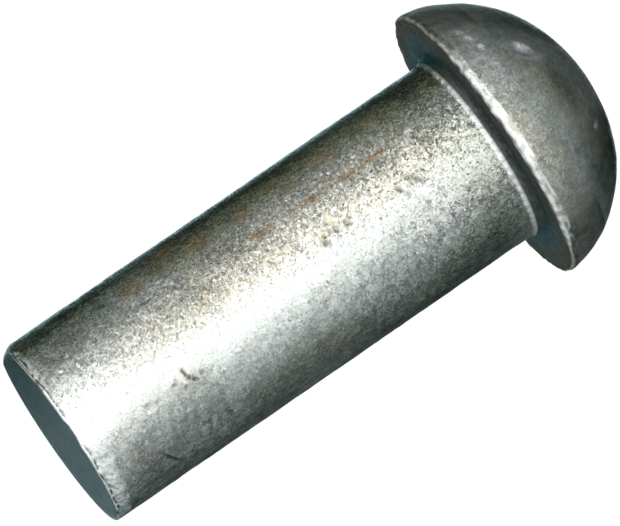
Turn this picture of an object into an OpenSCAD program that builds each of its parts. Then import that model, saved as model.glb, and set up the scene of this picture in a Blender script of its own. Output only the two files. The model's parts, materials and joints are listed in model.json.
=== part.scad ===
// Solid round-head rivet, cold-headed from one length of steel wire.
// It stands on its sheared end: the axis is Z, the sheared end lies at z = 0 and the head is on top.

/* [Shank] */
// Diameter of the shank
shank_d = 10; // [6:0.1:13]
// Length of the shank, from the sheared end to the bearing face under the head
shank_length = 25.2; // [8:0.1:80]
// Radius of the fillet where the shank runs into the bearing face
neck_fillet = 0.45; // [0.1:0.05:0.8]

/* [Sheared end] */
// Small round on the edge of the sheared end, all the way round
end_round = 0.12; // [0.05:0.01:0.4]
// Radius of the roll-over that the shear blade leaves on one side of the end
rollover_radius = 0.9; // [0.45:0.05:1.5]
// Direction in which that side faces, counted from +X towards +Y
rollover_azimuth = 180; // [0:5:355]

/* [Head] */
// Diameter of the head at its rim
head_d = 15; // [13.5:0.1:20]
// Height of the head, from the bearing face to the crown
head_height = 6.03; // [5:0.05:8]
// Radius of the round on the under edge of the rim
rim_round = 0.27; // [0.1:0.01:0.5]
// Height of the straight land between that round and the dome
rim_land = 0.2; // [0.05:0.01:0.6]
// Radius of the flatter arc over the crown
crown_radius = 9; // [8.6:0.1:11]
// Diameter at which the crown arc runs into the rounder shoulder
crown_d = 5; // [3:0.1:6]

/* [Hidden] */
$fn = 128;
// Overlap that joins solids and lets a cutting shape run past a surface
lap = 0.5;

shank_r = shank_d / 2;
head_r = head_d / 2;
rim_height = rim_round + rim_land;

// The crown arc is centred on the axis, and ends where the shoulder arc is tangent to it
crown_r = crown_d / 2;
crown_angle = asin(crown_r / crown_radius);
crown_centre_z = head_height - crown_radius;
crown_edge_z = crown_centre_z + crown_radius * cos(crown_angle);

// The shoulder arc leaves the crown arc smoothly and meets the top of the rim land
chord_r = head_r - crown_r;
chord_z = rim_height - crown_edge_z;
chord_along_normal = chord_r * sin(crown_angle) + chord_z * cos(crown_angle);
shoulder_radius = -(chord_r * chord_r + chord_z * chord_z) / (2 * chord_along_normal);
shoulder_centre_r = crown_r - shoulder_radius * sin(crown_angle);
shoulder_centre_z = crown_edge_z - shoulder_radius * cos(crown_angle);

// Square corner with a quarter circle taken out, in the first quadrant, for fillets and edge rounds
module corner(radius) {
    difference() {
        square(radius);
        translate([radius, radius]) circle(r = radius);
    }
}

// Half section of the shank, with its edge rounded at the sheared end
module shank_section() {
    difference() {
        square([shank_r, shank_length + lap]);
        translate([shank_r, 0]) mirror([1, 0]) corner(end_round);
    }
}

// Half section of the fillet under the head
module neck_section() {
    translate([shank_r, shank_length]) mirror([0, 1]) corner(neck_fillet);
}

// Half section of the rim, from the bearing face to the foot of the dome
module rim_section() {
    difference() {
        square([head_r, rim_height]);
        translate([head_r, 0]) mirror([1, 0]) corner(rim_round);
    }
}

// Half section of the dome: a shoulder arc with a flatter crown arc over it
module dome_section() {
    intersection() {
        union() {
            translate([shoulder_centre_r, shoulder_centre_z]) circle(r = shoulder_radius);
            intersection() {
                translate([0, crown_centre_z]) circle(r = crown_radius);
                square([crown_r, head_height + lap]);
            }
        }
        translate([0, rim_height]) square([head_r, head_height]);
    }
}

// What the shear blade rolled away on one side of the end: a round along the cut.
// The round dips just past the end and the side, so that it leaves both in a clean edge.
module rollover_waste() {
    dip = rollover_radius / 30;
    reach = rollover_radius + lap;
    rotate([0, 0, rollover_azimuth])
        translate([shank_r - rollover_radius + dip, shank_d, rollover_radius - dip])
            rotate([90, 0, 0])
                linear_extrude(2 * shank_d)
                    difference() {
                        translate([0, -reach]) square(reach);
                        circle(r = rollover_radius);
                    }
}

module rivet() {
    color([0.55, 0.55, 0.52])
        difference() {
            rotate_extrude() {
                shank_section();
                neck_section();
                translate([0, shank_length]) {
                    rim_section();
                    dome_section();
                }
            }
            rollover_waste();
        }
}

rivet();
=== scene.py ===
"""Looks of a solid round-head rivet: its worn steel skin, the stage, the light and the camera."""

import json
import math

import bpy
import numpy as np
from mathutils import Matrix, Vector


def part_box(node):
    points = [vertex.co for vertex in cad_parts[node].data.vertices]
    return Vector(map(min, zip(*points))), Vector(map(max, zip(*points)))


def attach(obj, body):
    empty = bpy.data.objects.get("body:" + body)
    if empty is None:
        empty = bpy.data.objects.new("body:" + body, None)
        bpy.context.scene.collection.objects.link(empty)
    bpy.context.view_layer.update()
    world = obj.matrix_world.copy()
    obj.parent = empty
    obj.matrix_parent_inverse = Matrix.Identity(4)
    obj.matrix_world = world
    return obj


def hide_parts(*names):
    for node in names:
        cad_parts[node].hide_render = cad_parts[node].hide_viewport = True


MM = 0.001
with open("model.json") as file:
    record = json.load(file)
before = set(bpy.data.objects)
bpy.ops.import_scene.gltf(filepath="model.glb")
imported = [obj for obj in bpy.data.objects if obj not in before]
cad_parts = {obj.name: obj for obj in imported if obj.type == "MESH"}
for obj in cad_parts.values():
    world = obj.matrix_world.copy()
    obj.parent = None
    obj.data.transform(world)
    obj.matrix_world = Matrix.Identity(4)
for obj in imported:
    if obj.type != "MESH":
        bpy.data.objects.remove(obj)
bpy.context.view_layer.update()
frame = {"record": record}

# Sizes of the part, in millimetres: the main ones come from the frame
_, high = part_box("rivet")
mounts = {mount["name"]: mount for mount in frame["record"]["mounts"]}
HEIGHT = high[2] / MM
HEAD_R = high[0] / MM
SHANK_R = mounts["shank"]["dims"]["r_mm"]
BEARING_Z = mounts["bearing_face"]["pos_m"][2] / MM
NECK_FILLET = 0.45
END_ROUND = 0.12
END_FACE_R = SHANK_R - END_ROUND
ROLLOVER_R = 0.9
RIM_ROUND = 0.27
RIM_LAND = 0.2
RIM_TOP = BEARING_Z + RIM_ROUND + RIM_LAND
CROWN_RADIUS = 9.0
CROWN_R = 2.5

# The photograph: its width in pixels, and the camera that fits the rivet's outline in it
PHOTO_W = 620
CAMERA_DISTANCE = 410.4
CAMERA_TILT = math.radians(8.87)
AXIS_IN_PHOTO = math.radians(34.43)
FOCAL_PX = 8455.6
SENSOR_W = 36
AIM_HEIGHT = 14.86
AIM_RIGHT = 0.021
AIM_UP = 0.042

# Columns of the mesh round the rivet: close together on the side that the photograph shows
FRONT_REACH = 72
FRONT_COLUMNS = 180
BACK_COLUMNS = 100
COLUMNS = FRONT_COLUMNS + BACK_COLUMNS

# Rows of the mesh along the shank, as (top of a stretch, rows in it): closer where it is pitted
SHANK_ROWS = (
    (0.6, 13),
    (1.5, 8),
    (3.0, 12),
    (5.0, 24),
    (7.2, 32),
    (15.0, 46),
    (21.2, 60),
    (24.3, 20),
    (BEARING_Z - NECK_FILLET, 8),
)
# Where the rows end, at the middle of the end face and of the crown
END_CAP_R = 0.25
CROWN_CAP_ANGLE = 88.4
# The part of the end face inside this radius keeps its shape when the edge is drawn in
FACE_INNER_R = 4.2
# Points below the first height belong to the end face, and those above the second to the shank
FACE_TOP = 0.01
SHANK_START = 0.02

# What the skin is painted with: discolouring, painted shade and painted highlights, and how rough and
# grainy it is
PAINTS = ("rust", "stain_and_shade", "dirt_and_shade", "bare_metal_and_highlight", "warm", "olive", "grain", "coarse", "dull")

# The form of a dent's bowl and lip: places in half-lengths of the dent, height as a share of its depth
BOWL_POWER = 1.5
LIP_AT = 1.15
LIP_WIDTH = 0.22
LIP_SHARE = 0.2

# A mark stays on the side of the skin that faces as its middle does, to this cosine
SAME_SIDE = 0.2
FAR_OFF = 99.0

# How many waves make up an unevenness
WAVE_COUNT = 28
RIPPLE_COUNT = 14

# Pits of the shank: a crescent with small ones beside it, two clusters nearer the head and one
# near the end. Each is (height, azimuth, half its length along the axis, half its width, depth, dirt)
PITS = (
    (6.08, 9.4, 0.09, 0.16, 0.04, 0.9),
    (6.11, 12, 0.085, 0.18, 0.05, 0.95),
    (6.21, 14.6, 0.085, 0.18, 0.05, 0.95),
    (6.38, 16.8, 0.095, 0.16, 0.05, 0.9),
    (6.5, 18, 0.09, 0.12, 0.04, 0.8),
    (5.4, 13.5, 0.18, 0.13, 0.025, 0.6),
    (5.55, 12, 0.1, 0.12, 0.025, 0.5),
    (5.85, 18, 0.12, 0.15, 0.02, 0.5),
    (6.85, 16.5, 0.13, 0.17, 0.025, 0.5),
    (15.3, -4.5, 0.17, 0.2, 0.06, 0.75),
    (15.45, -8, 0.1, 0.22, 0.06, 0.6),
    (15.75, -9, 0.1, 0.3, 0.06, 0.5),
    (16.1, -8, 0.1, 0.28, 0.06, 0.5),
    (16.75, -7, 0.16, 0.18, 0.06, 0.6),
    (19.72, -6.3, 0.13, 0.22, 0.06, 0.55),
    (20.02, -0.6, 0.16, 0.13, 0.05, 0.45),
    (20.3, -9.6, 0.09, 0.2, 0.06, 0.5),
    (20.52, -8.7, 0.1, 0.2, 0.06, 0.6),
    (20.74, -5.5, 0.13, 0.18, 0.06, 0.75),
    (20.89, -3, 0.13, 0.16, 0.06, 0.65),
    (21.38, -8.7, 0.08, 0.24, 0.05, 0.4),
    (3.3, 2, 0.14, 0.09, 0.03, 0.4),
)

# Glints on the upper side of the shank: small dents, each with a painted highlight, as (height, azimuth,
# half-size)
GLINTS = (
    (1.29, -29, 0.12),
    (7.7, -42, 0.1),
    (7.9, -38, 0.12),
    (8.1, -36, 0.1),
    (17.15, -40, 0.1),
    (17.5, -38, 0.1),
    (18.9, -37.5, 0.11),
    (22.4, -41, 0.1),
)
GLINT_DEPTH = 0.07

# Nicks low on the dome, as (height, azimuth, turn)
NICKS = ((26.35, -44.5, 0), (26.5, -39.5, 0), (26.72, -33.5, 20))

# Rust along two lines of the upper side, and smaller patches, the last three on the lower side.
# Each is (height, azimuth, half its length along the axis, half its width, amount)
RUST_PATCHES = (
    (12.95, -31.5, 0.8, 0.2, 1.1),
    (15.85, -30.5, 0.8, 0.2, 1.1),
    (17.9, -30.5, 0.9, 0.22, 1.1),
    (19.6, -30.5, 0.9, 0.2, 1.1),
    (6.46, -50, 0.65, 0.6, 1.1),
    (8.9, -62, 0.8, 0.6, 0.95),
    (10.45, -51, 0.65, 0.55, 1.1),
    (13.0, -51, 0.55, 0.5, 1.0),
    (14.8, -57, 0.6, 0.45, 0.9),
    (15.5, -46, 0.5, 0.35, 0.85),
    (17.9, -52, 0.7, 0.65, 1.0),
    (21.0, -55, 0.9, 0.6, 0.75),
    (9.2, -21, 0.45, 0.4, 0.4),
    (4.6, -27, 0.5, 0.25, 0.4),
    (6.2, -20, 0.35, 0.2, 0.45),
    (18.6, 55, 0.9, 0.4, 0.45),
    (13.0, 55, 0.7, 0.35, 0.45),
    (2.1, 39.5, 0.6, 0.2, 0.8),
)
# Azimuths of rows of rust on the sides that the photograph doesn't show
RUST_ROWS = (98, 118, 131, 152, 171, 186, 207, 226, 243, 262)

# Stained spots of the upper side, with the same fields as the rust patches
STAIN_SPOTS = (
    (8.7, -22, 1.4, 0.8, 0.35),
    (7.9, -14, 2.2, 0.7, 0.42),
    (11.6, -29, 1.2, 1.1, 0.28),
    (1.4, -37, 1.2, 0.8, 0.4),
    (3.6, -56, 3.0, 1.2, 0.6),
)
# Stained streaks along the far side, as (azimuth, half-width in degrees, amount)
FAR_STREAKS = ((138, 14, 0.5), (176, 9, 0.4), (203, 16, 0.6), (247, 10, 0.5))

# Colours of the steel and of what lies on it
DARK_GREY = (0.545, 0.585, 0.565, 1)
LIGHT_GREY = (0.68, 0.715, 0.695, 1)
DARK_FLECK = (0.2, 0.2, 0.185, 1)
DARK_SPECK = (0.25, 0.25, 0.235, 1)
# The white of bare metal, which also paints the highlights
BARE_METAL_AND_HIGHLIGHT = (0.88, 0.88, 0.87, 1)
TAN = (0.64, 0.56, 0.43, 1)
CLOUD = (0.5, 0.48, 0.41, 1)
OLIVE = (0.36, 0.365, 0.235, 1)
# Stain, which also paints shade
STAIN_AND_SHADE = (0.15, 0.16, 0.105, 1)
RUST = (0.34, 0.22, 0.115, 1)
# Near-black dirt, which also paints shade under the head and in the end's groove and notch
DIRT_AND_SHADE = (0.028, 0.034, 0.034, 1)
# Dull steel doesn't brighten towards its outline as polished metal does
OUTLINE_TINT = (0.25, 0.4, 0.44, 1)

# Grains of the steel, in cells a millimetre, and how far they bend and tilt
LUMPS = 6.0
FLAKES = 8.4
SPECKS = 18.0
CELL_BEND = 0.06
LUMP_TILT = 0.16
FLAKE_TILT = 0.26
SPECK_TILT = 0.22
GLINT_TILT = 0.75

# Depths of the bumps in millimetres, and how far stain lowers and other paint raises the roughness
MOTTLE_BUMP = 0.015
STREAK_BUMP = 0.012
STAIN_GLOSS = 0.13
RUST_ROUGHNESS = 0.12
DULL_ROUGHNESS = 0.12

# The light of the world: weaker from above its horizon than from below
WORLD_COLOUR = (0.45, 0.87, 1.0, 1)
WORLD_BELOW = 0.16
WORLD_ABOVE = 0.05
HORIZON_SOFT = 0.02

# The floor, in metres: rings of points as (radius, height). It turns up far away, so no horizon shows
FLOOR_SIDES = 96
FLOOR_LEVEL = -0.00002
FLOOR_RINGS = (
    (END_FACE_R * MM, FLOOR_LEVEL),
    (0.7, FLOOR_LEVEL),
    (0.85, 0.008),
    (0.95, 0.025),
    (1.0, 0.05),
)
FLOOR_COLOUR = (0.82, 0.85, 0.86, 1)
FLOOR_ROUGHNESS = 0.9
FLOOR_GLOW_COLOUR = (0.93, 0.98, 1.0, 1)
# Where the floor's glow starts and stops changing, and how strong it is there
FLOOR_GLOW_R = (0.1, 1.0)
FLOOR_GLOW = (0.45, 0.52)

# The white card, in metres: how far behind the rivet it stands, and half its side
CARD_BEHIND = 0.6
CARD_HALF = 0.055

rng = np.random.default_rng(4)


def bell(values, middle, width):
    """1 where the values are at the middle, and smoothly less to both sides."""
    return np.exp(-(((values - middle) / width) ** 2))


def ramp(values, start, length):
    """0 at the start and 1 a length further on: a negative length leads towards lower values."""
    return np.clip((values - start) / length, 0, 1)


def fade(values, length):
    """1 at 0, falling evenly to 0 at the length."""
    return np.clip(1 - values / length, 0, 1)


def arc(centre, radius, start, stop, steps):
    """Points of a round stretch of the section, without its first point. Angles are in degrees."""
    angles = [math.radians(start + (stop - start) * (i + 1) / steps) for i in range(steps)]
    return [(centre[0] + radius * math.cos(a), centre[1] + radius * math.sin(a)) for a in angles]


def straight(start, stop, steps):
    """Points of a straight stretch of the section, without its first point."""
    run = stop[0] - start[0]
    rise = stop[1] - start[1]
    shares = [(i + 1) / steps for i in range(steps)]
    return [(start[0] + run * share, start[1] + rise * share) for share in shares]


def section():
    """Half section (radius, height) of the rivet, from the middle of its end to the crown."""
    rim_height = RIM_ROUND + RIM_LAND
    head_height = HEIGHT - BEARING_Z
    crown_angle = math.asin(CROWN_R / CROWN_RADIUS)
    crown_edge = head_height - CROWN_RADIUS * (1 - math.cos(crown_angle))
    chord_r = HEAD_R - CROWN_R
    chord_z = rim_height - crown_edge
    along = chord_r * math.sin(crown_angle) + chord_z * math.cos(crown_angle)
    shoulder = -(chord_r**2 + chord_z**2) / (2 * along)
    shoulder_r = CROWN_R - shoulder * math.sin(crown_angle)
    shoulder_z = BEARING_Z + crown_edge - shoulder * math.cos(crown_angle)
    shoulder_start = math.degrees(math.atan2(RIM_TOP - shoulder_z, HEAD_R - shoulder_r))
    # The first two degrees of the dome have rows close together, beside the rim
    foot_stop = shoulder_start + 2
    crown_start = 90 - math.degrees(crown_angle)
    rim_r = HEAD_R - RIM_ROUND
    neck_r = SHANK_R + NECK_FILLET

    points = [(END_CAP_R, 0.0)]
    points += straight(points[-1], (FACE_INNER_R, 0.0), steps=6)
    points += straight(points[-1], (END_FACE_R, 0.0), steps=8)
    points += arc((END_FACE_R, END_ROUND), END_ROUND, -90, 0, steps=5)
    for top, steps in SHANK_ROWS:
        points += straight(points[-1], (SHANK_R, top), steps)
    points += arc((neck_r, BEARING_Z - NECK_FILLET), NECK_FILLET, 180, 90, steps=9)
    points += straight(points[-1], (rim_r, BEARING_Z), steps=10)
    points += arc((rim_r, BEARING_Z + RIM_ROUND), RIM_ROUND, -90, 0, steps=7)
    points += straight(points[-1], (HEAD_R, RIM_TOP), steps=4)
    points += arc((shoulder_r, shoulder_z), shoulder, shoulder_start, foot_stop, steps=3)
    points += arc((shoulder_r, shoulder_z), shoulder, foot_stop, crown_start, steps=54)
    points += arc((0.0, HEIGHT - CROWN_RADIUS), CROWN_RADIUS, crown_start, CROWN_CAP_ANGLE, steps=14)
    return np.array(points)


class Skin:
    """The rivet's skin as rows of points, from the end to the crown, with what is painted on it."""

    def __init__(self):
        profile = section()
        self.rows = len(profile)
        count = self.rows * COLUMNS
        row = np.repeat(np.arange(self.rows), COLUMNS)
        # Azimuth 0 is the side that faces the camera, and it grows towards +X
        front = np.linspace(-FRONT_REACH, FRONT_REACH, FRONT_COLUMNS, endpoint=False)
        back = np.linspace(FRONT_REACH, 360 - FRONT_REACH, BACK_COLUMNS, endpoint=False)
        self.azimuth = np.tile((np.concatenate([front, back]) + 180) % 360 - 180, self.rows)
        self.round = np.radians(self.azimuth)
        self.radius = profile[row, 0]
        self.height = profile[row, 1]
        self.shank = (self.height < BEARING_Z) & (self.height > SHANK_START)
        self.head = self.height >= BEARING_Z + RIM_ROUND
        slope = np.gradient(profile, axis=0)
        slope /= np.linalg.norm(slope, axis=1)[:, None]
        out = np.stack([slope[:, 1], -slope[:, 0]], axis=1)[row]
        self.outward = np.stack([np.sin(self.round), -np.cos(self.round), np.zeros(count)], axis=1)
        self.normal = self.outward * out[:, :1]
        self.normal[:, 2] = out[:, 1]
        self.point = self.outward * self.radius[:, None]
        self.point[:, 2] = self.height
        # How far each point is moved along its normal at the end
        self.push = np.zeros(count)
        self.paint = {name: np.zeros(count) for name in PAINTS}
        on_head = profile[:, 1] > BEARING_Z + RIM_ROUND
        self.head_heights = profile[on_head, 1]
        self.head_radii = profile[on_head, 0]

    def seat(self, height, azimuth):
        """Point, outward normal and two tangents of the skin at a place on the shank or the dome."""
        a = math.radians(azimuth)
        out = np.array([math.sin(a), -math.cos(a), 0.0])
        side = np.array([math.cos(a), math.sin(a), 0.0])
        if height < BEARING_Z:
            radius = SHANK_R
            normal = out
        else:
            step = 0.2
            radius = float(np.interp(height, self.head_heights, self.head_radii))
            above = float(np.interp(height + step, self.head_heights, self.head_radii))
            normal = out * step + np.array([0, 0, radius - above])
            normal /= np.linalg.norm(normal)
        return out * radius + np.array([0, 0, height]), normal, side, np.cross(normal, side)

    def reach(self, height, azimuth, along, across, turn=0.0):
        """How far each point lies from a place, in half-lengths of an oval mark: 1 is its edge."""
        centre, normal, side, up = self.seat(height, azimuth)
        t = math.radians(turn)
        first = up * math.cos(t) + side * math.sin(t)
        second = side * math.cos(t) - up * math.sin(t)
        away = self.point - centre
        far = np.hypot(away @ first / along, away @ second / across)
        return np.where(self.normal @ normal > SAME_SIDE, far, FAR_OFF)

    def dent(self, height, azimuth, along, across, depth, turn=0.0):
        """A dent with a low lip, of metal pushed aside, round it."""
        far = self.reach(height, azimuth, along, across, turn)
        bowl = np.clip(1 - far**2, 0, 1) ** BOWL_POWER
        lip = bell(far, LIP_AT, LIP_WIDTH)
        self.push += depth * (LIP_SHARE * lip - bowl)

    def mark(self, name, height, azimuth, along, across, amount=1.0, turn=0.0, power=2):
        """An oval patch of one paint: soft, or with a crisper edge at a higher power."""
        far = self.reach(height, azimuth, along, across, turn)
        self.paint[name] = np.maximum(self.paint[name], amount * np.exp(-(far**power)))

    def waves(self, length, count=WAVE_COUNT):
        """Smooth unevenness of unit spread over the skin, with this wavelength in millimetres."""
        total = np.zeros(len(self.point))
        for _ in range(count):
            way = rng.normal(size=3)
            way *= 2 * math.pi / length / np.linalg.norm(way) * rng.uniform(0.75, 1.3)
            total += np.cos(self.point @ way + rng.uniform(0, 2 * math.pi))
        return total * math.sqrt(2 / count)

    def ripple(self, length):
        """Smooth unevenness of unit spread, only round the axis, with this wavelength at the shank."""
        turns = 2 * math.pi * SHANK_R / length
        total = np.zeros(len(self.point))
        for _ in range(RIPPLE_COUNT):
            times = max(1, round(turns * rng.uniform(0.6, 1.5)))
            total += np.cos(self.round * times + rng.uniform(0, 2 * math.pi))
        return total * math.sqrt(2 / RIPPLE_COUNT)

    def between(self, start, stop, soft, wander=0.0):
        """1 between two azimuths in degrees and 0 elsewhere, with soft ends that may wander."""
        middle = (start + stop) / 2
        away = np.abs((self.azimuth + wander - middle + 180) % 360 - 180)
        return np.clip(((stop - start) / 2 - away) / soft + 0.5, 0, 1)

    def by_height(self, heights, values):
        """Values that run evenly from one height to the next."""
        return np.interp(self.height, heights, values)


def forge(skin):
    """The unevenness of the wire, and the lower side of the dome, fuller than a turned form."""
    coarse = 0.006
    fine = 0.003
    skin.push += coarse * skin.waves(1.6) + fine * skin.waves(0.7)
    # The inset keeps the uneven skin inside the plain solid's box
    inset = 0.018
    skin.push -= inset
    fullest = 0.08
    fuller = skin.by_height((RIM_TOP, 27.5, 30.0, HEIGHT), (0.0, 1.0, 0.8, 0.0))
    skin.push += fullest * fuller * skin.between(38, 128, soft=40)


def shape_rim(skin):
    """The rim: a bead with wandering edges, a little lower away from the camera, with a painted highlight.
    """
    aside = ramp(np.abs(skin.azimuth), start=36, length=14)
    near = ramp(skin.height, start=BEARING_Z, length=RIM_TOP - BEARING_Z)
    near *= bell(np.maximum(skin.height - RIM_TOP, 0), middle=0, width=0.45)
    lowered = -0.01 - 0.13 * aside
    skin.point[:, 2] += near * (lowered + 0.02 * skin.ripple(4.0) + 0.01 * skin.ripple(1.0))

    # The under edge stands out here and there, and the land above it is worn back
    under = bell(skin.height - BEARING_Z, middle=0.04, width=0.14)
    under *= skin.radius > HEAD_R - 0.4
    burr = 0.02 + 0.014 * skin.ripple(1.3) + 0.01 * skin.ripple(0.5)
    skin.push += under * np.clip(burr, -0.02, 0.05)
    land = bell(skin.height - RIM_TOP, middle=-0.2, width=0.3)
    land *= skin.radius > HEAD_R - 0.3
    wear_back = 0.015 + 0.01 * skin.ripple(1.6)
    skin.push -= land * np.clip(wear_back, 0, 0.06)

    # A painted highlight on a strip from the underside up to the dome, patchy, with painted shade at its
    # ends and torn below
    inner = HEAD_R - 0.42 + 0.06 * skin.ripple(1.2) + 0.04 * skin.ripple(0.5)
    strip = ramp(skin.radius, start=inner, length=0.2)
    strip *= (skin.height > BEARING_Z - 0.01) & (skin.height < RIM_TOP + 0.005)
    near_side = skin.between(-33, 55, soft=12) * (0.7 + 0.3 * skin.ripple(1.6))
    far_side = 0.35 * skin.between(125, 250, soft=30)
    dimmer = 0.2 * skin.between(20, 40, soft=12)
    worn = np.clip(0.8 + 0.45 * skin.waves(0.5), 0.2, 1)
    skin.paint["bare_metal_and_highlight"] += strip * worn * np.clip(near_side + far_side - dimmer, 0, 1)
    skin.paint["dull"] += strip
    ends = 1 - skin.between(-38, 60, soft=14)
    skin.paint["stain_and_shade"] += strip * (0.6 * ends + 0.5 * (1 - worn))
    torn = strip * (skin.height < BEARING_Z + 0.1)
    torn = torn * np.clip(0.4 + 0.6 * skin.ripple(0.6), 0, 1)
    torn_share = 0.7
    skin.paint["rust"] += torn_share * torn
    skin.paint["bare_metal_and_highlight"] *= 1 - torn_share * torn


def cut_lip(skin, wall):
    """The ragged lip of the sheared end, and the groove behind it. Gives back the groove's painted shade.
    """
    burred = 1 - skin.between(-130, -62, soft=24)
    torn = np.clip(0.7 + 0.45 * skin.ripple(1.2) + 0.35 * skin.ripple(0.45), 0, 1.4)
    line = 0.2 + 0.03 * skin.ripple(2.5)
    clear_of_chip = 1 - skin.between(-6, 11, soft=6)
    groove = bell(skin.height, middle=line, width=0.045) * wall * burred * clear_of_chip
    groove_depth = 0.05
    skin.push -= groove * groove_depth * torn
    # Painted shade in the groove
    darkening = groove * np.clip(torn * 1.3, 0, 1)
    skin.paint["dirt_and_shade"] += darkening
    # A painted highlight along the lip
    lip = bell(skin.height, middle=0.1, width=0.07) * wall * burred
    skin.paint["bare_metal_and_highlight"] += 0.9 * lip * np.clip(0.3 + torn, 0, 1)
    return darkening


def press_flats(skin, wall):
    """The flats that the blades left on both sides of the lip: the lower one ends in a bright line."""
    azimuths = (8, 15, 28, 40, 59, 86)
    length = np.interp(skin.azimuth, azimuths, (0.2, 0.5, 1.03, 0.9, 0.76, 0.65))
    length += 0.04 * skin.ripple(1.4)
    taper = fade(skin.height, length)
    lower = skin.between(18, 84, soft=16)
    lower_wall = lower * wall
    # The face is drawn in with the wall, so that the edge between them stays whole
    drawn_in = ramp(skin.radius, start=FACE_INNER_R, length=SHANK_R - FACE_INNER_R)
    drawn_in *= skin.height < 2
    lower_depth = 0.2
    sunk = lower_depth * (taper * lower * drawn_in)
    skin.point -= skin.outward * sunk[:, None]
    patchy = np.clip(0.5 + 0.9 * skin.waves(0.32), 0, 1)
    shiny = np.clip(taper * lower_wall * 3, 0, 1)
    duller = 1 - 0.6 * skin.between(58, 100, soft=16)
    skin.paint["bare_metal_and_highlight"] += shiny * (0.1 + 0.9 * patchy) * duller
    flecks = np.clip(1.2 * skin.waves(0.28) - 0.2, 0, 0.65)
    skin.paint["stain_and_shade"] += shiny * flecks * (1 - patchy)
    bright_line = bell(skin.height, middle=length, width=0.06) * lower_wall
    skin.paint["bare_metal_and_highlight"] += bright_line * np.clip(0.5 + 0.6 * skin.ripple(1.5), 0, 1)

    upper = fade(skin.height, length=0.45) * skin.between(-64, -33, soft=8) * wall
    upper_depth = 0.08
    skin.push -= upper * upper_depth
    skin.paint["bare_metal_and_highlight"] += np.clip(upper * 4, 0, 1) * 0.6 * patchy


def shape_face(skin):
    """The end face: hollow, lifted towards the near edge, with a chip out of the middle of that edge."""
    face = (skin.height < FACE_TOP) & (skin.radius < END_FACE_R + 0.01)
    hollow_depth = 0.03
    hollow = ramp(skin.radius, start=END_FACE_R, length=-0.12)
    skin.point[:, 2] += face * hollow * hollow_depth
    lift = 0.09
    nearer = ramp(skin.radius, start=2.4, length=2.5) ** 2 * skin.between(-60, 95, soft=50)
    skin.point[:, 2] += face * nearer * lift
    chip_depth = 0.07
    chip_top = 0.2
    chip = ramp(skin.radius, start=4.5, length=0.4) * skin.between(-4, 9, soft=5)
    chip *= skin.height < chip_top
    skin.point[:, 2] += chip * chip_depth * fade(skin.height, length=chip_top)
    # Painted light: brighter towards the near edge and the lower side, a painted highlight on the chip,
    # and painted shade towards the upper side
    across = skin.point[:, 0] / SHANK_R
    skin.paint["bare_metal_and_highlight"] += face * (0.05 + 0.6 * nearer + 0.3 * across) + 0.9 * chip
    skin.paint["stain_and_shade"] += 0.7 * face * np.clip(-across, 0, 1)


def roll_over(skin):
    """The round that the blade left along one side of the end."""
    # The round dips just past the end and the side, as in the plain solid
    dip = ROLLOVER_R / 30
    dx = skin.point[:, 0] + SHANK_R - ROLLOVER_R + dip
    dz = skin.point[:, 2] - ROLLOVER_R + dip
    far = np.hypot(dx, dz)
    outside = (dx < 0) & (dz < 0) & (far > ROLLOVER_R)
    shrink = np.where(outside, ROLLOVER_R / np.maximum(far, 1e-6), 1.0)
    skin.point[:, 0] += dx * (shrink - 1)
    skin.point[:, 2] += dz * (shrink - 1)


def shape_end(skin):
    """The sheared end: a ragged lip, flats where the blades bore, the face and the rolled side."""
    wall = skin.radius > SHANK_R - 0.02
    darkening = cut_lip(skin, wall)
    press_flats(skin, wall)
    skin.paint["bare_metal_and_highlight"] *= 1 - darkening
    # A painted shadow in a notch of the edge on the upper side
    notch = skin.between(-34, -26, soft=3) * bell(skin.height, middle=0.05, width=0.06)
    notch *= skin.radius > 4.6
    skin.paint["dirt_and_shade"] += notch
    shape_face(skin)
    roll_over(skin)


def random_dent(skin, height, size, depth):
    """A small dent anywhere round the axis."""
    azimuth = rng.uniform(-180, 180)
    across = size * rng.uniform(0.5, 1.5)
    skin.dent(height, azimuth, size, across, depth, turn=rng.uniform(0, 180))


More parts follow.
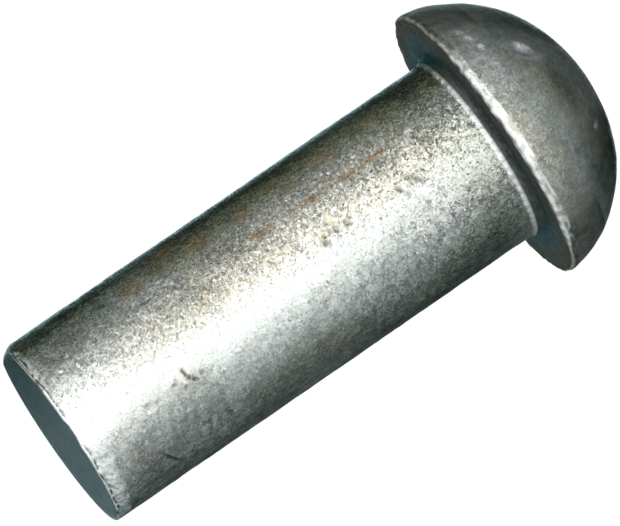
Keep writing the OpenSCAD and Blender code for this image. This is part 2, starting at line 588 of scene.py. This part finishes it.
def wear(skin):
    """The marks that the photograph shows, and others like them on the sides that it doesn't show."""
    # How far dirt and rust spread, in half-lengths of a pit
    filled = 1.05
    rusty = 1.7
    for height, azimuth, along, across, depth, darkening in PITS:
        skin.dent(height, azimuth, along, across, depth)
        skin.mark("dirt_and_shade", height, azimuth, along * filled, across * filled, darkening * 0.8, power=3)
        skin.mark("rust", height, azimuth, along * rusty, across * rusty, darkening * 0.6)
    # Scratches: one across the lower side, one along the upper side, one across near the head
    skin.dent(3.6, 52, along=0.85, across=0.08, depth=0.04, turn=60)
    skin.mark("dirt_and_shade", 3.6, 52, along=0.8, across=0.08, amount=0.75, turn=60, power=4)
    skin.dent(6.7, -36, along=0.5, across=0.06, depth=0.03)
    skin.mark("dirt_and_shade", 6.7, -36, along=0.5, across=0.07, amount=0.6)
    skin.dent(21.0, 17, along=0.06, across=0.36, depth=0.03)
    skin.mark("dirt_and_shade", 21.0, 17, along=0.06, across=0.36, amount=0.6)
    # Small dents, each with a painted highlight
    for height, azimuth, size in GLINTS:
        skin.dent(height, azimuth, size, size, GLINT_DEPTH)
        skin.mark("bare_metal_and_highlight", height, azimuth, size, size)

    # The dome: a flat dent with a painted highlight, two patches of painted light, a darker stained patch,
    # nicks and a small dent with painted highlights, and a darkened gouge
    skin.dent(28.45, -27, along=0.64, across=0.44, depth=0.16, turn=40)
    skin.mark("bare_metal_and_highlight", 28.5, -27, along=0.75, across=0.42, turn=40)
    skin.mark("bare_metal_and_highlight", 28.8, -22.5, along=0.6, across=0.4, amount=0.7, turn=40)
    skin.mark("bare_metal_and_highlight", 26.7, -26, along=0.5, across=0.9, amount=0.35)
    skin.mark("bare_metal_and_highlight", 27.5, 31, along=0.6, across=1.3, amount=0.35)
    skin.mark("stain_and_shade", 29.0, 2, along=0.7, across=1.6, amount=0.4)
    for height, azimuth, turn in NICKS:
        skin.dent(height, azimuth, along=0.26, across=0.32, depth=0.07, turn=turn)
        skin.mark("bare_metal_and_highlight", height + 0.08, azimuth, along=0.24, across=0.32, amount=0.8, turn=turn)
    skin.dent(27.9, 26, along=0.2, across=0.36, depth=0.05, turn=-40)
    skin.mark("dirt_and_shade", 27.9, 26, along=0.12, across=0.3, amount=0.5, turn=-40)
    skin.dent(29.45, 26.7, along=0.26, across=0.2, depth=0.1)
    skin.mark("bare_metal_and_highlight", 29.55, 26.7, along=0.2, across=0.16)

    # Small dents everywhere: first on the shank, then on the dome
    shank_dents = 190
    clear_of_ends = 0.8
    for _ in range(shank_dents):
        size = rng.uniform(0.1, 0.3)
        depth = size * rng.uniform(0.03, 0.09)
        height = rng.uniform(clear_of_ends, BEARING_Z - clear_of_ends)
        random_dent(skin, height, size, depth)
    dome_dents = 110
    dome_height = HEIGHT - RIM_TOP - 0.2
    for _ in range(dome_dents):
        size = rng.uniform(0.12, 0.4)
        depth = size * rng.uniform(0.02, 0.06)
        height = HEIGHT - dome_height * rng.uniform(0.02, 1)
        random_dent(skin, height, size, depth)


def rust(skin):
    """Rust that the photograph shows, and rows of patches on the sides that it doesn't show."""
    for patch in RUST_PATCHES:
        skin.mark("rust", *patch)
    for row in RUST_ROWS:
        for _ in range(rng.integers(4, 9)):
            along = rng.uniform(0.15, 0.9)
            across = rng.uniform(0.08, 0.3)
            azimuth = row + rng.normal(0, 4)
            skin.mark("rust", rng.uniform(1, 24), azimuth, along, across, rng.uniform(0.3, 0.85))


def stain_and_shade_shank(skin, wander):
    """Stain and painted shade along the outlines of the shank, and streaks, clouds and spots of stain
    elsewhere.
    """
    # Stain and painted shade along the upper outline, thicker at both ends than in the middle
    heights = (1, 5, 6.5, 8.5, 10, 13, 16, 19, 21, 24)
    upper = skin.by_height(heights, (1.3, 1.3, 0.85, 0.85, 1.1, 1.1, 1, 0.7, 0.9, 1.2))
    stain_and_shade = 0.95 * upper * skin.between(-104, -58, soft=20, wander=0.3 * wander)
    # Stain and painted shade along the lower outline
    heights = (1, 6, 8, 12, 17, 23, 24.5)
    lower = skin.by_height(heights, (0.65, 0.7, 0.68, 0.55, 0.72, 0.75, 0.35))
    lower *= skin.between(56, 106, soft=24, wander=0.4 * wander)
    stain_and_shade = np.maximum(stain_and_shade, lower)
    for middle, half, amount in FAR_STREAKS:
        streak = skin.between(middle - half, middle + half, soft=16, wander=wander)
        stain_and_shade = np.maximum(stain_and_shade, amount * streak)
    clouds = np.clip(0.3 + 0.5 * skin.waves(5.0) + 0.5 * skin.waves(1.7), 0, 1.5)
    stain_and_shade = np.maximum(stain_and_shade, 0.3 * clouds * skin.between(80, 280, soft=30))
    skin.paint["stain_and_shade"] += skin.shank * stain_and_shade

    # Duller stretches: one on the lower side that ends at a ring, one near the head, one past the ring
    ring_z = 7.37
    to_ring = ramp(skin.height, start=ring_z, length=-0.1) * ramp(skin.height, start=0.9, length=1.2)
    skin.paint["stain_and_shade"] += 0.27 * to_ring * skin.between(8, 50, soft=12)
    near_head = 0.3 * ramp(skin.height, start=21.6, length=1.2)
    skin.paint["stain_and_shade"] += skin.shank * near_head * skin.between(-75, 46, soft=16)
    past_ring = skin.by_height((5, 8), (0, 0.2))
    skin.paint["stain_and_shade"] += skin.shank * past_ring * skin.between(40, 60, soft=10)
    for spot in STAIN_SPOTS:
        skin.mark("stain_and_shade", *spot)


def stain_and_shade_head(skin):
    """Stain of the head, faint all over, with painted shade on the sides and the crown and painted light
    at the foot.
    """
    skin.paint["stain_and_shade"] += skin.head * (0.04 + 0.05 * skin.waves(3.0))
    # Painted shade on the sides
    shoulder = (27.2, 28.4)
    lower = skin.between(30, 114, soft=24) * skin.by_height(shoulder, (0, 0.7))
    skin.paint["stain_and_shade"] += skin.head * lower
    upper = skin.between(-112, -38, soft=16) * skin.by_height(shoulder, (0, 0.5))
    skin.paint["stain_and_shade"] += skin.head * upper
    sides = skin.between(46, 114, soft=12) + skin.between(-114, -50, soft=12)
    skin.paint["stain_and_shade"] += skin.head * 0.5 * sides * (skin.height < 27.6)
    # Painted light at the foot
    foot = bell(skin.height, middle=26.7, width=0.7) * skin.head
    lighter = 0.1 * skin.between(-40, 54, soft=12) + 0.3 * skin.between(-40, -16, soft=12)
    skin.paint["bare_metal_and_highlight"] += foot * lighter
    # Painted shade towards the crown
    crown = 0.33 * ramp(skin.height, start=28.6, length=1.5)
    skin.paint["stain_and_shade"] += skin.head * crown


def tint(skin, wander):
    """Olive along the shank's sides and on the head, specks of rust on the head, a brighter end."""
    upper = skin.between(-72, -44, soft=14, wander=0.4 * wander)
    upper *= skin.by_height((3, 8), (0.4, 0.92))
    skin.paint["olive"] += skin.shank * upper
    lower = 0.25 * skin.between(46, 72, soft=14, wander=wander) * (skin.height > 8)
    on_head = 0.22
    skin.paint["olive"] += skin.shank * lower + skin.head * on_head
    darker = 0.18 * skin.between(-28, 34, soft=14) * skin.by_height((16, 21), (0, 1))
    skin.paint["stain_and_shade"] += skin.shank * darker
    specks = 0.3 * np.clip(skin.waves(1.6, count=40) - 0.9, 0, 1)
    skin.paint["rust"] += skin.head * specks
    brighter = 0.4 * ramp(skin.height, start=4.0, length=-3) * skin.between(-28, 28, soft=16)
    skin.paint["bare_metal_and_highlight"] += skin.shank * brighter


def neck_shade_and_highlight(skin):
    """Painted shade under the head, darkest beside the rim, with rust there, and a painted highlight along
    the line where the neck begins.
    """
    above = skin.height - BEARING_Z
    outer = ramp(skin.radius, start=5.9, length=0.7)
    beneath = ramp(above, start=-0.37, length=0.06) * (skin.radius > SHANK_R + 0.01)
    beneath *= ramp(skin.height, start=BEARING_Z + 0.05, length=-0.04)
    not_bare = 1 - skin.paint["bare_metal_and_highlight"]
    # Painted shade under the head, and rust beside the rim
    skin.paint["dirt_and_shade"] += beneath * (0.9 - 0.1 * outer) * not_bare
    skin.paint["rust"] += beneath * outer * not_bare
    flare = ramp(above, start=-0.6, length=0.24) * (skin.height < BEARING_Z + 0.01)
    flare_height = 0.06
    skin.push += flare_height * flare**1.5 * (skin.radius < SHANK_R + 0.3)
    # A painted highlight along the start of the neck
    line = np.clip(flare * 6, 0, 1)
    line *= ramp(skin.height, start=BEARING_Z - 0.36, length=-0.06)
    line_patches = np.clip(0.8 + 0.2 * skin.ripple(2.0) + 0.3 * skin.ripple(0.6), 0.2, 1)
    line *= line_patches * (0.1 + 0.9 * skin.between(-52, 60, soft=18))
    skin.paint["bare_metal_and_highlight"] += line
    skin.paint["stain_and_shade"] *= 1 - 0.8 * line


def texture(skin):
    """How warm, grainy, coarse and dull the steel is, by place."""
    warm = skin.between(-46, -6, soft=14) * skin.by_height((2, 6, 11, 21, 24), (0.3, 0.6, 1, 1, 0.3))
    skin.paint["warm"] += skin.shank * np.clip(0.1 + warm, 0, 1)
    skin.paint["warm"] += skin.head * np.clip(0.3 + 0.3 * skin.waves(3.0), 0, 1)
    upper = skin.between(-70, -2, soft=12) * skin.by_height((4, 11), (0.1, 0.35))
    near_head = 0.3 * skin.between(-20, 50, soft=20) * skin.by_height((13, 18), (0, 1))
    head_grain = 0.55
    shank_grain = 0.6 + upper + near_head
    skin.paint["grain"] += np.where(skin.shank, shank_grain, head_grain)
    coarser = np.clip((skin.height - 16) / 5, 0.1, 1)
    skin.paint["coarse"] += skin.shank * skin.between(-36, 40, soft=24) * coarser
    head_dullness = 0.6
    skin.paint["dull"] += np.where(skin.head, head_dullness, 0.0)


def discolour(skin):
    """Rust, stain, dirt, bare metal, painted shade and painted highlights, by place."""
    rust(skin)
    wander = 9 * skin.waves(7.0)
    stain_and_shade_shank(skin, wander)
    stain_and_shade_head(skin)
    tint(skin, wander)
    neck_shade_and_highlight(skin)
    texture(skin)
    for name in skin.paint:
        skin.paint[name] = np.clip(skin.paint[name], 0, 1)


def skin_mesh():
    """The rivet's skin as one closed mesh with its paint in attributes."""
    skin = Skin()
    forge(skin)
    shape_rim(skin)
    wear(skin)
    shape_end(skin)
    discolour(skin)
    face = skin.height < FACE_TOP
    points = skin.point + skin.normal * np.where(face, 0, skin.push)[:, None]
    points[:, 2] = np.maximum(points[:, 2], 0)
    faces = []
    for row in range(skin.rows - 1):
        for column in range(COLUMNS):
            after = (column + 1) % COLUMNS
            a = row * COLUMNS
            b = a + COLUMNS
            faces.append((a + column, a + after, b + after, b + column))
    top = (skin.rows - 1) * COLUMNS
    faces.append(tuple(reversed(range(COLUMNS))))
    faces.append(tuple(range(top, top + COLUMNS)))
    mesh = bpy.data.meshes.new("rivet_skin")
    mesh.from_pydata((points * MM).tolist(), [], faces)
    for name, values in skin.paint.items():
        layer = mesh.attributes.new(name, "FLOAT", "POINT")
        layer.data.foreach_set("value", values)
    mesh.polygons.foreach_set("use_smooth", [True] * len(mesh.polygons))
    mesh.update()
    return mesh


class Nodes:
    """Short ways to add shader nodes to one material."""

    def __init__(self, material):
        material.use_nodes = True
        self.tree = material.node_tree
        self.shader = self.tree.nodes["Principled BSDF"]

    def add(self, kind, **settings):
        """A new node with these settings."""
        node = self.tree.nodes.new(kind)
        for name, value in settings.items():
            setattr(node, name, value)
        return node

    def put(self, value, socket):
        """Links another node's output to a socket, or sets the socket's own value."""
        if isinstance(value, bpy.types.NodeSocket):
            self.tree.links.new(value, socket)
        else:
            socket.default_value = value

    def set(self, **values):
        """Sets inputs of the main shader, by their names with underscores for spaces."""
        for name, value in values.items():
            self.put(value, self.shader.inputs[name.replace("_", " ")])

    def paint(self, name):
        """One of the mesh's paints."""
        node = self.add("ShaderNodeAttribute", attribute_type="GEOMETRY", attribute_name=name)
        return node.outputs["Fac"]

    def millimetres(self, stretch=(1, 1, 1)):
        """Object coordinates in millimetres, squeezed by a factor along each axis."""
        place = self.add("ShaderNodeTexCoord")
        scaled = self.add("ShaderNodeMapping")
        scaled.inputs["Scale"].default_value = [s / MM for s in stretch]
        self.tree.links.new(place.outputs["Object"], scaled.inputs["Vector"])
        return scaled.outputs["Vector"]

    def noise(self, where, scale, detail, rough):
        """Cloudy noise from 0 to 1."""
        node = self.add("ShaderNodeTexNoise")
        self.put(where, node.inputs["Vector"])
        node.inputs["Scale"].default_value = scale
        node.inputs["Detail"].default_value = detail
        node.inputs["Roughness"].default_value = rough
        return node.outputs["Fac"]

    def bend(self, where, scale, amount):
        """A place moved by up to this amount, by noise of this scale."""
        node = self.add("ShaderNodeTexNoise")
        self.put(where, node.inputs["Vector"])
        node.inputs["Scale"].default_value = scale
        return self.vector("ADD", where, self.vector("SCALE", node.outputs["Color"], amount))

    def spread(self, value, low, high, to_low=0.0, to_high=1.0):
        """A value between two limits, spread evenly between two others."""
        node = self.add("ShaderNodeMapRange")
        self.put(value, node.inputs["Value"])
        node.inputs["From Min"].default_value = low
        node.inputs["From Max"].default_value = high
        node.inputs["To Min"].default_value = to_low
        node.inputs["To Max"].default_value = to_high
        return node.outputs["Result"]

    def math(self, operation, first, second):
        """An operation on two numbers."""
        node = self.add("ShaderNodeMath", operation=operation)
        self.put(first, node.inputs[0])
        self.put(second, node.inputs[1])
        return node.outputs[0]

    def times(self, first, second):
        """The product of two numbers."""
        return self.math("MULTIPLY", first, second)

    def vector(self, operation, first, second=None):
        """An operation on a vector, with a second vector, a scale or neither."""
        node = self.add("ShaderNodeVectorMath", operation=operation)
        self.put(first, node.inputs[0])
        if operation == "SCALE":
            self.put(second, node.inputs["Scale"])
        elif second is not None:
            self.put(second, node.inputs[1])
        return node.outputs[0]

    def cells(self, where, scale):
        """A random colour for each small cell of the skin."""
        node = self.add("ShaderNodeTexVoronoi")
        self.put(where, node.inputs["Vector"])
        node.inputs["Scale"].default_value = scale
        return node.outputs["Color"]

    def part(self, colour, index):
        """One channel of a colour."""
        node = self.add("ShaderNodeSeparateColor")
        self.put(colour, node.inputs[0])
        return node.outputs[index]

    def mix(self, share, under, over):
        """One colour laid over another by a share. The numbers are the node's sockets for colours."""
        node = self.add("ShaderNodeMix", data_type="RGBA")
        self.put(share, node.inputs["Factor"])
        self.put(under, node.inputs[6])
        self.put(over, node.inputs[7])
        return node.outputs[2]

    def seen(self):
        """1 where a surface is seen, also in a reflection or through glass, and 0 where it would light."""
        path = self.add("ShaderNodeLightPath")
        seen = self.math("MAXIMUM", path.outputs["Is Camera Ray"], path.outputs["Is Glossy Ray"])
        return self.math("MAXIMUM", seen, path.outputs["Is Transmission Ray"])

    def bump(self, height, distance, normal=None):
        """A normal bent by a height, whose full range is this distance in millimetres."""
        node = self.add("ShaderNodeBump")
        self.put(height, node.inputs["Height"])
        node.inputs["Distance"].default_value = distance * MM
        if normal is not None:
            self.put(normal, node.inputs["Normal"])
        return node.outputs["Normal"]


def steel():
    """Tumbled bare steel: grainy grey metal with olive stain, rust, dirt, bare edges, painted shade and
    painted highlights.
    """
    material = bpy.data.materials.new("worn_steel")
    n = Nodes(material)
    place = n.millimetres()
    bent = n.bend(place, scale=7.0, amount=CELL_BEND)
    lumps = n.cells(bent, LUMPS)
    flakes = n.cells(bent, FLAKES)
    specks = n.cells(bent, SPECKS)
    mottle = n.noise(place, scale=2.2, detail=3.0, rough=0.6)
    cloud = n.noise(place, scale=0.45, detail=3.0, rough=0.55)
    along_axis = n.millimetres(stretch=(1, 1, 0.18))
    streak = n.noise(along_axis, scale=2.4, detail=3.0, rough=0.6)
    grain = n.paint("grain")
    glint = n.spread(n.part(specks, 1), 0.9, 0.94)

    # The steel itself, with its grains
    colour = n.mix(n.spread(mottle, 0.3, 0.7), DARK_GREY, LIGHT_GREY)
    dark_fleck = n.times(grain, n.spread(n.part(flakes, 0), 0.36, 0.1, 0, 0.45))
    colour = n.mix(dark_fleck, colour, DARK_FLECK)
    white_fleck = n.times(grain, n.spread(n.part(flakes, 0), 0.7, 0.9, 0, 0.6))
    colour = n.mix(white_fleck, colour, BARE_METAL_AND_HIGHLIGHT)
    dark_speck = n.times(grain, n.spread(n.part(specks, 0), 0.4, 0.1, 0, 0.4))
    colour = n.mix(dark_speck, colour, DARK_SPECK)
    tan = n.times(n.paint("warm"), n.spread(n.part(flakes, 1), 0.25, 0.8, 0.2, 0.9))
    colour = n.mix(tan, colour, TAN)
    colour = n.mix(n.spread(cloud, 0.5, 0.8, 0, 0.3), colour, CLOUD)
    colour = n.mix(n.times(grain, glint), colour, BARE_METAL_AND_HIGHLIGHT)

    # What lies on it, with the painted shade and painted highlights
    colour = n.mix(n.paint("olive"), colour, OLIVE)
    # Stain, and painted shade
    stain_and_shade = n.times(n.paint("stain_and_shade"), n.spread(streak, 0.3, 0.6, 0.6, 1.0))
    colour = n.mix(stain_and_shade, colour, STAIN_AND_SHADE)
    torn = n.noise(n.millimetres(stretch=(1, 1, 0.4)), scale=4.5, detail=4.0, rough=0.7)
    ragged = n.math("ADD", n.paint("rust"), n.spread(torn, 0.25, 0.75, -0.45, 0.35))
    flaky = n.spread(n.part(flakes, 2), 0.0, 0.6, 0.6, 1.0)
    rusty = n.times(n.spread(ragged, 0.05, 0.95, 0.0, 0.9), flaky)
    colour = n.mix(rusty, colour, RUST)
    # Dirt, and painted shade
    dirt_and_shade = n.times(n.paint("dirt_and_shade"), n.spread(mottle, 0.3, 0.6, 0.9, 1.0))
    colour = n.mix(dirt_and_shade, colour, DIRT_AND_SHADE)
    # Bare metal, and painted highlights
    bare_metal_and_highlight = n.times(n.paint("bare_metal_and_highlight"), n.spread(n.part(flakes, 0), 0.0, 0.4, 0.6, 1.0))
    colour = n.mix(bare_metal_and_highlight, colour, BARE_METAL_AND_HIGHLIGHT)

    rough = n.spread(mottle, 0.3, 0.7, 0.445, 0.525)
    rough = n.math("SUBTRACT", rough, n.times(n.paint("stain_and_shade"), STAIN_GLOSS))
    rough = n.math("ADD", rough, n.times(rusty, RUST_ROUGHNESS))
    rough = n.math("ADD", rough, n.times(n.paint("dull"), DULL_ROUGHNESS))
    n.set(Base_Color=colour, Roughness=rough, Metallic=1.0, Specular_Tint=OUTLINE_TINT)

    # Each cell tilts by its own random colour, as far as that lies from grey
    grey = (0.5, 0.5, 0.5)
    normal = n.bump(mottle, MOTTLE_BUMP)
    normal = n.bump(streak, STREAK_BUMP, normal)
    for cells, tilt in (
        (lumps, n.times(n.paint("coarse"), LUMP_TILT)),
        (flakes, n.times(grain, FLAKE_TILT)),
        (specks, n.times(grain, n.spread(glint, 0.0, 1.0, SPECK_TILT, GLINT_TILT))),
    ):
        aside = n.vector("SCALE", n.vector("SUBTRACT", cells, grey), tilt)
        normal = n.vector("ADD", normal, aside)
    n.set(Normal=n.vector("NORMALIZE", normal))
    return material


def add_skin():
    """The one piece of the visual model."""
    mesh = skin_mesh()
    mesh.materials.append(steel())
    skin = bpy.data.objects.new("rivet_skin", mesh)
    bpy.context.scene.collection.objects.link(skin)
    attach(skin, "root")
    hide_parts("rivet")


# The direction from the rivet to the camera, and the picture's own axes before it is rolled
TO_CAMERA = Vector((0, -math.cos(CAMERA_TILT), -math.sin(CAMERA_TILT)))
ALONG_AXIS = Vector((0, -math.sin(CAMERA_TILT), math.cos(CAMERA_TILT)))
ACROSS_AXIS = Vector((1, 0, 0))


def add_camera():
    """The photograph's camera: a long lens, rolled so that the head is at the upper right."""
    right = ACROSS_AXIS * math.sin(AXIS_IN_PHOTO) + ALONG_AXIS * math.cos(AXIS_IN_PHOTO)
    up = ALONG_AXIS * math.sin(AXIS_IN_PHOTO) - ACROSS_AXIS * math.cos(AXIS_IN_PHOTO)
    aim = Vector((0, 0, AIM_HEIGHT)) + right * AIM_RIGHT + up * AIM_UP
    place = (aim + TO_CAMERA * CAMERA_DISTANCE) * MM
    data = bpy.data.cameras.new("camera")
    data.sensor_width = SENSOR_W
    data.lens = FOCAL_PX / PHOTO_W * data.sensor_width
    data.clip_start = 0.01
    data.clip_end = 60
    camera = bpy.data.objects.new("camera", data)
    axes = Matrix((right, up, TO_CAMERA)).transposed().to_4x4()
    camera.matrix_world = Matrix.Translation(place) @ axes
    bpy.context.scene.collection.objects.link(camera)
    bpy.context.scene.camera = camera


def add_lamp(name, azimuth, elevation, distance, size, power, colour):
    """A round soft lamp that faces the rivet, with azimuth 0 on the camera's side, in metres."""
    data = bpy.data.lights.new(name, "AREA")
    data.shape = "DISK"
    data.size = size
    data.energy = power
    data.color = colour
    lamp = bpy.data.objects.new(name, data)
    a = math.radians(azimuth)
    e = math.radians(elevation)
    direction = Vector((math.sin(a) * math.cos(e), -math.cos(a) * math.cos(e), math.sin(e)))
    lamp.location = Vector((0, 0, AIM_HEIGHT * MM)) + direction * distance
    lamp.rotation_euler = direction.to_track_quat("Z", "Y").to_euler()
    lamp.visible_camera = False
    bpy.context.scene.collection.objects.link(lamp)


def add_world():
    """A dim sky all round."""
    world = bpy.data.worlds.new("studio")
    world.use_nodes = True
    background = world.node_tree.nodes["Background"]
    background.inputs["Color"].default_value = WORLD_COLOUR
    place = world.node_tree.nodes.new("ShaderNodeTexCoord")
    height = world.node_tree.nodes.new("ShaderNodeSeparateXYZ")
    level = world.node_tree.nodes.new("ShaderNodeMapRange")
    level.inputs["From Min"].default_value = -HORIZON_SOFT
    level.inputs["From Max"].default_value = HORIZON_SOFT
    level.inputs["To Min"].default_value = WORLD_BELOW
    level.inputs["To Max"].default_value = WORLD_ABOVE
    world.node_tree.links.new(place.outputs["Generated"], height.inputs["Vector"])
    world.node_tree.links.new(height.outputs["Z"], level.inputs["Value"])
    world.node_tree.links.new(level.outputs["Result"], background.inputs["Strength"])
    bpy.context.scene.world = world


def add_stage(name, points, faces, material):
    """A stage object with one material."""
    mesh = bpy.data.meshes.new(name)
    mesh.from_pydata(points, [], faces)
    mesh.materials.append(material)
    thing = bpy.data.objects.new(name, mesh)
    bpy.context.scene.collection.objects.link(thing)
    return thing


def floor_material():
    """A pale surface that glows where it is seen, and is clear from below."""
    material = bpy.data.materials.new("floor")
    n = Nodes(material)
    place = n.add("ShaderNodeTexCoord")
    length = n.add("ShaderNodeVectorMath", operation="LENGTH")
    n.put(place.outputs["Object"], length.inputs[0])
    glow = n.times(n.seen(), n.spread(length.outputs["Value"], *FLOOR_GLOW_R, *FLOOR_GLOW))
    n.set(Base_Color=FLOOR_COLOUR, Roughness=FLOOR_ROUGHNESS)
    n.set(Emission_Color=FLOOR_GLOW_COLOUR, Emission_Strength=glow)
    clear = n.add("ShaderNodeBsdfTransparent")
    side = n.add("ShaderNodeNewGeometry")
    mix = n.add("ShaderNodeMixShader")
    n.put(side.outputs["Backfacing"], mix.inputs["Fac"])
    n.put(n.shader.outputs["BSDF"], mix.inputs[1])
    n.put(clear.outputs["BSDF"], mix.inputs[2])
    n.put(mix.outputs["Shader"], n.tree.nodes["Material Output"].inputs["Surface"])
    return material


def add_floor():
    """A pale floor, open under the rivet's end, which the camera looks at from below."""
    points = []
    turns = [2 * math.pi * i / FLOOR_SIDES for i in range(FLOOR_SIDES)]
    for radius, height in FLOOR_RINGS:
        points += [(radius * math.cos(t), radius * math.sin(t), height) for t in turns]
    faces = []
    for ring in range(len(FLOOR_RINGS) - 1):
        a = ring * FLOOR_SIDES
        b = a + FLOOR_SIDES
        for i in range(FLOOR_SIDES):
            after = (i + 1) % FLOOR_SIDES
            faces.append((a + i, b + i, b + after, a + after))
    floor = add_stage("floor", points, faces, floor_material())
    floor.data.polygons.foreach_set("use_smooth", [True] * len(faces))
    floor.visible_shadow = False


def add_backdrop():
    """A white card behind the rivet, just large enough for the picture."""
    centre = Vector((0, 0, AIM_HEIGHT * MM)) - TO_CAMERA * CARD_BEHIND
    side = ACROSS_AXIS * CARD_HALF
    up = ALONG_AXIS * CARD_HALF
    corners = (centre - side - up, centre + side - up, centre + side + up, centre - side + up)
    points = [tuple(corner) for corner in corners]
    material = bpy.data.materials.new("backdrop")
    n = Nodes(material)
    black = (0, 0, 0, 1)
    white = (1, 1, 1, 1)
    n.set(Base_Color=black, Emission_Color=white, Emission_Strength=n.seen())
    card = add_stage("backdrop", points, [(0, 1, 2, 3)], material)


bpy.context.scene.view_settings.view_transform = "Standard"
add_camera()
add_skin()
add_lamp(
    "front",
    azimuth=0,
    elevation=-math.degrees(CAMERA_TILT),
    distance=0.55,
    size=0.82,
    power=6.05,
    colour=(1.0, 1.0, 0.99),
)
add_lamp(
    "top",
    azimuth=0,
    elevation=75,
    distance=0.6,
    size=0.5,
    power=0.12,
    colour=(0.97, 0.99, 1.0),
)
add_lamp(
    "back",
    azimuth=186,
    elevation=12,
    distance=1.6,
    size=0.8,
    power=7.0,
    colour=(0.9, 0.96, 1.0),
)
add_world()
add_floor()
add_backdrop()
